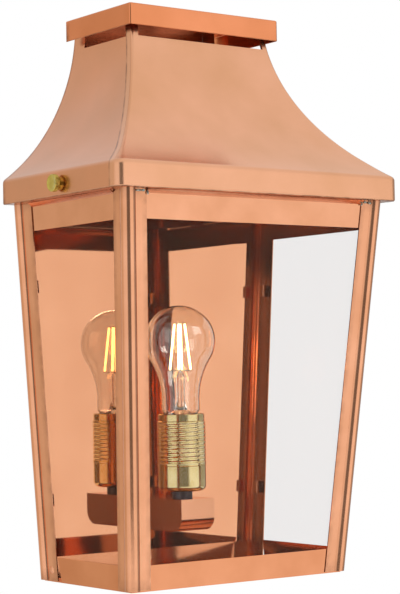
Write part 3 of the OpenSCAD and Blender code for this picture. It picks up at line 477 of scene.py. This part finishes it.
def roof():
    """The swept roof: a front panel lapped over two side panels along the hips, and the flat ledge
    inside the skirt. At each level the panels lie at the softened distances out, less a small
    hem at the foot; the corner's radius shrinks from the skirt to the hips."""
    levels = np.concatenate([[301.0, 301.12, 301.4, 301.9], np.arange(303.5, 315, 2.0),
                             np.arange(315, 325, 0.5), np.arange(326, 428, 2.5),
                             [SLOT_Z, SWEEP_TOP, 446.0, TAB_TOP]])
    hem = 0.5 * (1 - smooth_step(levels, 301.0, 302.0))
    side = softened(levels, SKIRT_HALF, NECK_HALF, SIDE_ARC) - hem
    front = softened(levels, SKIRT_DEPTH, NECK_DEPTH, FRONT_ARC) - hem
    corner = SKIRT_CORNER - (SKIRT_CORNER - HIP_CORNER) * smooth_step(levels, 318.0, 334.0)
    # the front panel
    lap = np.array([LAP_W, LAP_W - 0.3, 4.0, 2.0, 0.0])
    side_y = -(front - corner)[:, None] + lap[None, :]
    top = levels > SLOT_Z - 0.1
    neck_x = np.mean(side[top]) + SHEET - np.mean(corner[top])
    tab_share = 1 - (NECK_HALF - FRONT_TAB) / neck_x
    front_at = np.unique(np.concatenate([np.linspace(0, 1, 41), [tab_share]]))
    sheet = folded_round(side + SHEET, front, corner + SHEET, levels, side_y, front_at)
    x_share = np.clip(np.abs(sheet[..., 0]) / (side[:, None] * MM), 0, 1)
    z = (sheet[..., 2] - TRAY_Z) / MM
    swell = smooth_step(z, 326, 345) * smooth_step(-z, -428, -400) * smooth_step(-x_share, -0.9, -0.7)
    sheet[..., 1] += 0.45 * MM * swell * np.sin(sheet[..., 0] / MM / 19 + 0.7) * np.sin(z / 15)
    columns = sheet.shape[1]
    tab = len(lap) + ARC_STEPS - 1 + np.searchsorted(front_at, tab_share)
    cells = np.ones((len(levels) - 1, columns - 1), bool)
    cells[levels[:-1] > SLOT_Z - 0.1, tab:columns - 1 - tab] = False
    points, faces, tarnish = shell(sheet, SHEET * MM, cells)
    # The front panel's cut edges are darkened more: tarnish, and painted shade along the laps at the hips
    mesh_piece("front_sweep", points, faces, COPPER["roof"], "roof", ["roof_front"],
               HIP_TARNISH_AND_SHADE * tarnish)
    # the side panels
    neck_run = np.mean((front - corner)[top]) - SHEET
    tab_share = (REAR_TAB - SHEET) / neck_run
    side_at = np.unique(np.concatenate([np.linspace(0, 1, 33), [tab_share]]))
    y = -SHEET - (front - corner - SHEET)[:, None] * side_at[None, :]
    x = np.broadcast_to(-side[:, None] + 0.02, y.shape)
    z = np.broadcast_to(levels[:, None], y.shape)
    swell = smooth_step(z, 326, 345) * smooth_step(-z, -428, -400) * smooth_step(-side_at, -0.9, -0.7)
    x = x + 0.35 * swell * np.sin(y / 15 + 0.5) * np.sin(z / 17 + 1.0)
    tab = np.searchsorted(side_at, tab_share)
    cells = np.ones((len(levels) - 1, len(side_at) - 1), bool)
    cells[levels[:-1] > SLOT_Z - 0.1, tab:] = False
    left = placed(x, y, z)
    for name, node, grid, kept in (("left_sweep", "roof_left", left, cells),
                                   ("right_sweep", "roof_right", mirrored(left), cells[:, ::-1])):
        points, faces, tarnish = shell(grid, SHEET * MM, kept)
        mesh_piece(name, points, faces, COPPER["skirted"], "roof", [node], tarnish)
    # the ledge
    inset = np.array([0.0, 0.5, 1.0])
    half = SKIRT_HALF - SHEET - (SIDE_LEDGE - SHEET) * inset
    depth = SKIRT_DEPTH - SHEET - (FRONT_LEDGE - SHEET) * inset
    corner = np.array([5.2, 3.0, 1.0])
    side_y = -SHEET - (depth - corner - SHEET)[:, None] * np.linspace(0, 1, 9)[None, :]
    sheet = folded_round(half, depth, corner, np.full(3, 301.8), side_y, np.linspace(0, 1, 9))
    points, faces, tarnish = shell(sheet, SHEET * MM)
    mesh_piece("bearing_ledge", points, faces, COPPER["skirted"], "roof", (), tarnish)


roof()


def rain_cap():
    """The rain cap: folded walls with a softly rounded top edge, and a top that rises a little."""
    q = np.linspace(0, pi / 2, 7)
    edge = 1.3
    inset = np.concatenate([[0.25, 0.0, 0.0, 0.0], edge * (1 - np.cos(q))])
    z = np.concatenate([[CAP_LOW, CAP_LOW + 0.25, CAP_LOW + 1, CAP_LOW + 8],
                        CAP_TOP - 0.4 - edge + edge * np.sin(q), [CAP_TOP - 0.1, CAP_TOP - 0.02, CAP_TOP]])
    share = np.array([0.7, 0.35, 0.01])
    half = np.concatenate([CAP_HALF - inset, CAP_HALF * share])
    depth = np.concatenate([CAP_DEPTH - inset, CAP_DEPTH * share])
    corner = np.concatenate([np.full(len(inset), 1.6), share])
    side_y = -(depth - corner)[:, None] * np.linspace(0, 1, 17)[None, :]
    sheet = folded_round(half, depth, corner, z, side_y, np.linspace(0, 1, 17), 6)
    points, faces, tarnish = shell(sheet, SHEET * MM)
    tarnish = np.where(points[:, 2] > TRAY_Z + (CAP_TOP - 3) * MM, 0, tarnish)
    mesh_piece("rain_cap", points, faces, COPPER["cap"], "roof", ["vent_cap"], tarnish)


rain_cap()

# Posts: one folded sheet each, with a round bead on the corner


def bead(first, last, back):
    """The bead's arc between two angles in degrees, about a centre inside the corner."""
    q = np.radians(np.linspace(first, last, 15))
    return np.stack([BEAD_IN + BEAD_R * np.cos(q), back * BEAD_IN + BEAD_R * np.sin(q)], -1)


def post(name, line, along_front, sign):
    """A post: its section's line carried up the leaning corner, x = half + line x and
    y = depth + line y at each height."""
    z = np.linspace(POST_LOW, POST_TOP, 31)[:, None]
    x = -post_half(z) + line[None, :, 0]
    y = -along_front * post_depth(z) + line[None, :, 1]
    sheet = placed(x, y, z)
    points, faces, tarnish = shell(sheet if sign < 0 else mirrored(sheet), SHEET * MM)
    mesh_piece(name + "_beaded_post", points, faces, COPPER["body"], "lantern",
               [name + "_post"], POST_TARNISH * tarnish)


FRONT_LINE = np.vstack([[[0, FRONT_FACE], [0, 13.0], [0, 8.4]], bead(119.2, 330.8, 1),
                        [[8.4, 0], [13.0, 0], [FRONT_FACE, 0]]])
REAR_LINE = np.vstack([[[POST_WEB, 0], [3.0, 0], [-2.0, 0]], bead(151.5, 240.8, -1),
                       [[0, -8.4], [0, -15.0], [0, -REAR_FACE]]])
for side, sign in (("left", -1), ("right", 1)):
    post("front_" + side, FRONT_LINE, 1, sign)
    post("rear_" + side, REAR_LINE, 0, sign)


def joined(parts):
    """Several sets of points and faces as one."""
    points, faces, base = [], [], 0
    for some_points, some_faces in parts:
        points.append(some_points)
        faces += [[v + base for v in f] for f in some_faces]
        base += len(some_points)
    return np.vstack(points), faces


# Thumb screws: a cut thread and a diamond knurl, turned in place of the plain CAD screws
HEAD_T = 4.4 * MM
SHOULDER_T = 1.2 * MM
SHOULDER_R = 4.5 * MM
SHAFT_R = 2.0 * MM
EDGE = 0.5 * MM
THREAD_PITCH = 0.7 * MM
THREAD_DEPTH = 0.38 * MM
KNURL_COUNT = 44
KNURL_DEPTH = 0.28 * MM
KNURL_PITCH = 2.0 * MM
TIP = 0.6 * MM


def screw_surface(length, head_r):
    """Points and faces of a thumb screw, its tip at 0 and its face at length along its axis."""
    neck = length - HEAD_T - SHOULDER_T
    under = length - HEAD_T
    dish = 0.35 * MM
    profile = np.vstack([
        [[0, 0], [SHAFT_R - TIP, 0]],
        stretch([SHAFT_R, TIP], [SHAFT_R, neck], int(neck / THREAD_PITCH * 8)),
        [[SHAFT_R, neck], [SHOULDER_R, neck + 0.01 * MM], [SHOULDER_R, under - 0.01 * MM]],
        [[head_r - EDGE, under]],
        stretch([head_r, under + EDGE], [head_r, length - EDGE], 16),
        [[head_r, length - EDGE], [head_r - EDGE, length], [head_r * 0.8, length - dish * 0.2],
         [head_r * 0.72, length - dish], [head_r * 0.4, length - dish * 1.2], [0, length - dish * 1.2]],
    ])

    def ripple(turn, h, r):
        """Thread: a zigzag that climbs one pitch a turn. Knurl: two crossed families of grooves."""
        on_shaft = (r <= SHAFT_R) & (h > TIP) & (h < neck - 0.5 * MM)
        climb = (h / THREAD_PITCH - turn / (2 * pi)) % 1.0
        thread = THREAD_DEPTH * np.abs(2 * climb - 1)
        on_rim = (r >= head_r - 0.01 * MM) & (h > under)
        slant = 2 * pi * (h - under) / KNURL_PITCH
        first = np.abs(np.sin(KNURL_COUNT / 2 * turn + slant / 2))
        second = np.abs(np.sin(KNURL_COUNT / 2 * turn - slant / 2))
        knurl = KNURL_DEPTH * (1 - np.minimum(first, second))
        return r - np.where(on_shaft, thread, 0) - np.where(on_rim, knurl, 0)

    return revolved(profile, KNURL_COUNT * 6, ripple)


def thumb_screw(side, sign):
    """One thumb screw, its axis along X, in the place of its CAD node."""
    low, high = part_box(side + "_thumb_screw")
    points, faces = screw_surface(high.x - low.x, (high.z - low.z) / 2)
    tip = high.x if sign < 0 else low.x
    y, z = (low.y + high.y) / 2, (low.z + high.z) / 2
    points = np.stack([tip + sign * points[:, 2], y + points[:, 0], z + sign * points[:, 1]], -1)
    mesh_piece(side + "_knurled_screw", points, faces, TURNED_BRASS, side + "_screw",
               [side + "_thumb_screw"])


for side, sign in (("left", -1), ("right", 1)):
    thumb_screw(side, sign)


def turned_ring(profile, x, y, z, ripple=None, steps=144):
    """Points and faces of a turned ring: a closed profile of radius and height is carried round the
    upright axis at x, y, and a point's radius is what ripple gives for its turn and height."""
    turn = np.linspace(0, 2 * pi, steps, endpoint=False)[None, :]
    h = np.broadcast_to(profile[:, 1][:, None], (len(profile), steps))
    r = np.broadcast_to(profile[:, 0][:, None], h.shape)
    r = r if ripple is None else ripple(turn, h, r)
    points = np.stack([x + r * np.cos(turn), y + r * np.sin(turn), z + h], -1).reshape(-1, 3)
    i, j = np.meshgrid(np.arange(len(profile)), np.arange(steps), indexing="ij")
    k, up = (j + 1) % steps, (i + 1) % len(profile)
    faces = np.stack([i * steps + j, i * steps + k, up * steps + k, up * steps + j], -1).reshape(-1, 4)
    return points, faces.tolist()


# Lampholder's skirt: a coarse rounded thread for a shade ring, under a plain rim
RIB_PITCH = 3.3 * MM
RIB_DEPTH = 0.8 * MM
RIM_HEIGHT = 5.7 * MM
RIM_STEP = 1.1 * MM
SKIRT_WALL = 1.3 * MM


def ribbed_skirt():
    """A tube whose outer radius is the thread's less a cosine that climbs one pitch a turn."""
    low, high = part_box("holder_skirt")
    outer, height = (high.x - low.x) / 2, high.z - low.z
    rim = height - RIM_HEIGHT
    bore = outer - SKIRT_WALL - 0.6 * MM
    profile = np.vstack([
        [[outer - SKIRT_WALL, 0], [outer - SKIRT_WALL + 0.01 * MM, 0], [outer - 0.6 * MM, 0],
         [outer, 0.5 * MM]],
        stretch([outer, 0.8 * MM], [outer, rim - 0.8 * MM], 90),
        [[outer - 0.3 * MM, rim - 0.5 * MM], [outer - RIM_STEP, rim],
         [outer - RIM_STEP, height - 0.5 * MM], [outer - RIM_STEP - 0.5 * MM, height],
         [bore, height], [bore - 0.01 * MM, height]],
        stretch([bore, height - 0.5 * MM], [bore, 0.2 * MM], 6),
    ])

    def ripple(turn, h, r):
        """The radius less RIB_DEPTH times a cosine wave, which fades out at the thread's two ends."""
        ribbed = (r > outer - 0.05 * MM) & (h > 0.6 * MM)
        fade = np.clip((h - 0.6 * MM) / (1.5 * MM), 0, 1) * np.clip((rim - h) / (1.5 * MM), 0, 1)
        wave = 0.5 - 0.5 * np.cos(2 * pi * h / RIB_PITCH - turn)
        return r - np.where(ribbed, RIB_DEPTH * wave * fade, 0)

    points, faces = turned_ring(profile, (low.x + high.x) / 2, (low.y + high.y) / 2, low.z, ripple)
    mesh_piece("ribbed_skirt", points, faces, BRASS, "lantern", ["holder_skirt"])


ribbed_skirt()

CUP_WALL = 0.8 * MM
CUP_FILLET = 5.0 * MM


def spun_cup():
    """The lampholder's cup: a wall of even thickness whose foot is a quarter circle, with a hole
    for the threaded tube."""
    low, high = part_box("holder_cup")
    tube_low, tube_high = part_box("nipple")
    hole = (tube_high.x - tube_low.x) / 2 + 0.1 * MM
    outer, height = (high.x - low.x) / 2, high.z - low.z
    foot = outer - CUP_FILLET
    q = np.linspace(0, pi / 2, 17)
    bend = np.stack([np.sin(q), 1 - np.cos(q)], -1)
    inner = (CUP_FILLET - CUP_WALL) * bend[::-1] + [foot, CUP_WALL]
    profile = np.vstack([[[hole, 0]], CUP_FILLET * bend + [foot, 0],
                         [[outer, height], [outer - CUP_WALL, height]], inner, [[hole, CUP_WALL]]])
    points, faces = turned_ring(profile, (low.x + high.x) / 2, (low.y + high.y) / 2, low.z)
    mesh_piece("spun_cup", points, faces, BRASS, "lantern", ["holder_cup"])


spun_cup()

# Lamp cap: a rolled screw thread, 27 mm across, 7 turns to the inch
LAMP_LOW, LAMP_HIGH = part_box("lamp_cap")
LAMP_X = (LAMP_LOW.x + LAMP_HIGH.x) / 2
LAMP_Y = (LAMP_LOW.y + LAMP_HIGH.y) / 2
LAMP_THREAD_PITCH = 25.4 / 7 * MM
LAMP_THREAD_DEPTH = 0.55 * MM
CAP_WALL = 0.35 * MM
CAP_R = 13.1 * MM
CAP_FLARE = 1.0 * MM
CAP_H = LAMP_HIGH.z - LAMP_LOW.z


def lamp_cap_surface():
    """Points and faces of the rolled cap: radius = outer radius less a cosine that climbs one
    pitch a turn, on both faces of the sheet."""
    foot = 1.2 * MM
    top = CAP_H - 3 * MM
    outer = CAP_R - CAP_WALL / 2
    profile = np.vstack([
        [[0, 0], [outer - foot, 0]],
        stretch([outer, foot], [outer, top], 60),
        [[outer, top], [CAP_R + CAP_FLARE, top + 1 * MM], [CAP_R + CAP_FLARE, CAP_H]],
        [[CAP_R + CAP_FLARE - CAP_WALL, CAP_H], [CAP_R + CAP_FLARE - CAP_WALL, top + 1.2 * MM]],
        stretch([outer - CAP_WALL, top], [outer - CAP_WALL, foot], 60),
        [[outer - CAP_WALL, foot], [outer - foot - CAP_WALL, CAP_WALL], [0, CAP_WALL]],
    ])

    def ripple(turn, h, r):
        """The radius less LAMP_THREAD_DEPTH times a cosine wave, which fades out in the same way."""
        rolled = (np.abs(r - outer + CAP_WALL / 2) < CAP_WALL) & (h >= foot) & (h <= top)
        fade = np.clip((h - foot) / (2 * MM), 0, 1) * np.clip((top - h) / (2 * MM), 0, 1)
        wave = 0.5 - 0.5 * np.cos(2 * pi * h / LAMP_THREAD_PITCH - turn)
        return r - np.where(rolled, LAMP_THREAD_DEPTH * wave * fade, 0)

    return revolved(profile, 96, ripple)


cap_points, cap_faces = lamp_cap_surface()
cap_points = cap_points + [LAMP_X, LAMP_Y, LAMP_LOW.z]
mesh_piece("rolled_lamp_cap", cap_points, cap_faces, TINNED, "lamp", ["lamp_cap"])


def rod(start, end, radius, steps=16, cap_rings=5):
    """A straight rod with rounded ends, revolved about the line from start to end."""
    start, end = Vector(start), Vector(end)
    length = (end - start).length
    q = np.linspace(0, pi / 2, cap_rings)
    low = np.stack([radius * np.sin(q), radius - radius * np.cos(q)], -1)
    high = np.stack([radius * np.cos(q), length - radius + radius * np.sin(q)], -1)
    points, faces = revolved(np.vstack([low, high]), steps)
    turn = np.array((end - start).to_track_quat("Z", "Y").to_matrix())
    return points @ turn.T + np.array(start), faces


# Light filaments: four silicone-coated strips that lean in towards their tops
FILAMENT_R = 0.9 * MM
FILAMENT_LOW_R = 8.6 * MM
FILAMENT_HIGH_R = 4.2 * MM


def light_filaments():
    """Rods on the CAD filaments' own lines, with rounded ends."""
    box_low, box_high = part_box("filaments")
    parts = []
    for i in range(4):
        q = radians(45 + 90 * i)
        out = Vector((cos(q), sin(q), 0))
        centre = Vector((LAMP_X, LAMP_Y, 0))
        low = centre + out * FILAMENT_LOW_R + Vector((0, 0, box_low.z + 0.2 * MM))
        high = centre + out * FILAMENT_HIGH_R + Vector((0, 0, box_high.z - 0.2 * MM))
        parts.append(rod(low, high, FILAMENT_R))
    points, faces = joined(parts)
    mesh_piece("light_filaments", points, faces, PHOSPHOR, "lamp", ["filaments"])


light_filaments()

# Solder: dull beads where the posts meet the rails, under the roof's ledge
SOLDER_RINGS, SOLDER_STEPS = 9, 14


def solder_bead(place, size, phase):
    """A flattened ball whose radius rises and falls with three slow waves, so that it looks run."""
    v = np.linspace(0, pi, SOLDER_RINGS)
    profile = np.stack([np.sin(v), -np.cos(v)], -1)
    points, faces = revolved(profile, SOLDER_STEPS)
    a, b, c = points.T
    lumps = (1 + 0.16 * np.sin(3 * a + phase) + 0.13 * np.sin(4 * b + 2 * phase)
             + 0.1 * np.sin(5 * c + 3 * phase))
    return points * lumps[:, None] * np.array(size) + np.array(place), faces


def solder_runs():
    """Three beads at the head of each front post, beside its fold. Each has its place inwards,
    outwards and upwards from the head of the post, and its three radii."""
    parts = []
    post_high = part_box("front_left_post")[1]
    for s in (-1, 1):
        for i, (dx, dy, dz, size) in enumerate((
                (10.0, 0.4, -1.6, (2.2, 0.7, 1.1)), (14.5, 0.3, -1.3, (1.8, 0.6, 0.9)),
                (18.4, 0.6, -2.6, (0.9, 0.7, 1.8)))):
            place = (s * (HEAD_HALF - dx) * MM, -(HEAD_DEPTH + dy) * MM, post_high.z + dz * MM)
            parts.append(solder_bead(place, [v * MM for v in size], i + s))
    points, faces = joined(parts)
    mesh_piece("solder_beads", points, faces, SOLDER, "lantern")


solder_runs()


# Studio: a pale floor well below the lantern, soft lamps, and a room that is white to the camera
FLOOR_DROP = 0.35
FLOOR_R = 1.3
FLOOR_STEPS = 96


def floor():
    """A round pale floor that fades to the white of the room towards its rim."""
    turn = np.linspace(0, 2 * pi, FLOOR_STEPS, endpoint=False)
    z = TRAY_Z - FLOOR_DROP
    ring = np.stack([FLOOR_R * np.cos(turn), FLOOR_R * np.sin(turn), np.full(FLOOR_STEPS, z)], -1)
    mesh = bpy.data.meshes.new("floor")
    mesh.from_pydata(ring.tolist(), [], [list(range(FLOOR_STEPS))])
    material, tree, output = new_material("pale_floor")
    place = add(tree, "ShaderNodeTexCoord").outputs["Object"]
    reach = add(tree, "ShaderNodeVectorMath", {"operation": "MULTIPLY", 1: (1, 1, 0)}, {0: place})
    span = add(tree, "ShaderNodeVectorMath", {"operation": "LENGTH"}, {0: reach.outputs["Vector"]})
    fade = add(tree, "ShaderNodeMapRange",
               {"From Min": 0.3, "From Max": FLOOR_R * 0.95, "To Min": 0.6, "To Max": 1.0},
               {"Value": span.outputs["Value"]})
    seen = add(tree, "ShaderNodeLightPath").outputs["Is Camera Ray"]
    share = add(tree, "ShaderNodeMath", {"operation": "MULTIPLY"}, {0: fade.outputs["Result"], 1: seen})
    matt = add(tree, "ShaderNodeBsdfDiffuse", {"Color": linear("#EFEFEF")})
    white = add(tree, "ShaderNodeEmission", {"Color": (1, 1, 1, 1), "Strength": 1.0})
    mix = add(tree, "ShaderNodeMixShader", None,
              {0: share.outputs["Value"], 1: matt.outputs["BSDF"], 2: white.outputs["Emission"]})
    tree.links.new(mix.outputs["Shader"], output.inputs["Surface"])
    mesh.materials.append(material)
    plane = bpy.data.objects.new("floor", mesh)
    bpy.context.scene.collection.objects.link(plane)


floor()


# What the metal mirrors, by heading round the lantern (0 is in front, 90 to the right), as a level
# and how warm it is
ROOM = (
    (-180, 0.75, 0), (-150, 0.73, 0.22), (-128, 0.73, 0.22), (-98, 0.98, 0), (-56, 1.0, 0),
    (-45, 0.22, 0), (-8, 0.22, 0), (4, 1.15, 0), (48, 1.1, 0), (62, 0.45, 0), (138, 0.45, 0),
    (150, 0.7, 0), (180, 0.75, 0),
)
# The same for what lies above the lantern
CEILING = ((-180, 0.8, 0), (-140, 0.82, 0.05), (-95, 0.88, 0.05), (-30, 0.92, 0), (30, 0.98, 0),
           (120, 0.95, 0), (180, 0.8, 0))
# The level that the ramps count as full, what refracted rays see, and what lights the rest
PEAK = 1.5
THROUGH_GLASS = (0.87, 0.88, 0.89, 1)
EVEN_GREY = (0.55, 0.55, 0.55, 1)


def screens(tree, along, stops):
    """A ring of pale and dark screens, smoothly joined round the heading. A warm one loses all its
    warmth's share of blue and a third of that of green."""
    ramp = add(tree, "ShaderNodeValToRGB", None, {"Fac": along})
    ramp.color_ramp.interpolation = "EASE"
    for angle, _, _ in stops[1:-1]:
        ramp.color_ramp.elements.new((angle + 180) / 360)
    for stop, (_, level, warmth) in zip(ramp.color_ramp.elements, stops):
        stop.color = (level / PEAK, level / PEAK * (1 - warmth / 3), level / PEAK * (1 - warmth), 1)
    return add(tree, "ShaderNodeVectorMath", {"operation": "SCALE", "Scale": PEAK},
               {0: ramp.outputs["Color"]}).outputs["Vector"]


def room():
    """White where the camera looks past the lantern or through its panes; a studio of pale and
    dark screens where metal and glass mirror it; an even grey for the rest."""
    world = bpy.data.worlds.new("studio")
    bpy.context.scene.world = world
    world.use_nodes = True
    tree = world.node_tree
    tree.nodes.clear()
    output = add(tree, "ShaderNodeOutputWorld")
    ray = add(tree, "ShaderNodeTexCoord").outputs["Generated"]
    parts = add(tree, "ShaderNodeSeparateXYZ", None, {0: ray})
    front = add(tree, "ShaderNodeMath", {"operation": "MULTIPLY", 1: -1.0}, {0: parts.outputs["Y"]})
    heading = add(tree, "ShaderNodeMath", {"operation": "ARCTAN2"},
                  {0: parts.outputs["X"], 1: front.outputs["Value"]})
    along = add(tree, "ShaderNodeMapRange", {"From Min": -pi, "From Max": pi},
                {"Value": heading.outputs["Value"]}).outputs["Result"]
    height = add(tree, "ShaderNodeMapRange", {"From Min": 0.25, "From Max": 0.6},
                 {"Value": parts.outputs["Z"]})
    sides = add(tree, "ShaderNodeMix", {"data_type": "RGBA"},
                {"Factor": height.outputs["Result"], 6: screens(tree, along, ROOM),
                 7: screens(tree, along, CEILING)})
    paths = add(tree, "ShaderNodeLightPath")
    metals = add(tree, "ShaderNodeMix", {"data_type": "RGBA", 6: EVEN_GREY},
                 {"Factor": paths.outputs["Is Glossy Ray"], 7: sides.outputs[2]})
    glass = add(tree, "ShaderNodeMix", {"data_type": "RGBA", 7: THROUGH_GLASS},
                {"Factor": paths.outputs["Is Transmission Ray"], 6: metals.outputs[2]})
    shown = add(tree, "ShaderNodeMix", {"data_type": "RGBA", 7: (1, 1, 1, 1)},
                {"Factor": paths.outputs["Is Camera Ray"], 6: glass.outputs[2]})
    sky = add(tree, "ShaderNodeBackground", {"Strength": 1.0}, {"Color": shown.outputs[2]})
    tree.links.new(sky.outputs["Background"], output.inputs["Surface"])


room()


def soft_lamp(name, place, target, size, watts, tint="#FFFFFF"):
    """A square soft lamp that the metal doesn't mirror."""
    data = bpy.data.lights.new(name, "AREA")
    data.size = size
    data.energy = watts
    data.color = linear(tint)[:3]
    lamp = bpy.data.objects.new(name, data)
    lamp.location = place
    lamp.rotation_mode = "QUATERNION"
    lamp.rotation_quaternion = (Vector(target) - Vector(place)).to_track_quat("-Z", "Y")
    lamp.visible_glossy = False
    bpy.context.scene.collection.objects.link(lamp)


AIM = (0, -0.08, -0.08)
soft_lamp("key", (0.9, -1.6, 0.9), AIM, 1.0, 22)
soft_lamp("fill", (-1.6, -0.7, 0.3), AIM, 1.2, 12)
soft_lamp("top", (0, -0.4, 1.6), AIM, 1.0, 12)


def camera():
    """The fitted camera: it looks along its heading and pitch, rolled about its own axis."""
    heading = Vector((sin(CAMERA_YAW) * cos(CAMERA_PITCH), cos(CAMERA_YAW) * cos(CAMERA_PITCH),
                      sin(CAMERA_PITCH)))
    level = Vector((cos(CAMERA_YAW), -sin(CAMERA_YAW), 0))
    upright = level.cross(heading)
    right = level * cos(CAMERA_ROLL) + upright * sin(CAMERA_ROLL)
    up = upright * cos(CAMERA_ROLL) - level * sin(CAMERA_ROLL)
    turn = Matrix((right, up, -heading)).transposed()
    data = bpy.data.cameras.new("camera")
    data.sensor_width = SENSOR_MM
    data.lens = FOCAL_PX / max(IMAGE_W, IMAGE_H) * SENSOR_MM
    data.clip_start, data.clip_end = 0.05, 30.0
    eye = bpy.data.objects.new("camera", data)
    eye.matrix_world = Matrix.Translation(CAMERA_PLACE) @ turn.to_4x4()
    bpy.context.scene.collection.objects.link(eye)
    bpy.context.scene.camera = eye


camera()
bpy.context.scene.view_settings.view_transform = "Standard"
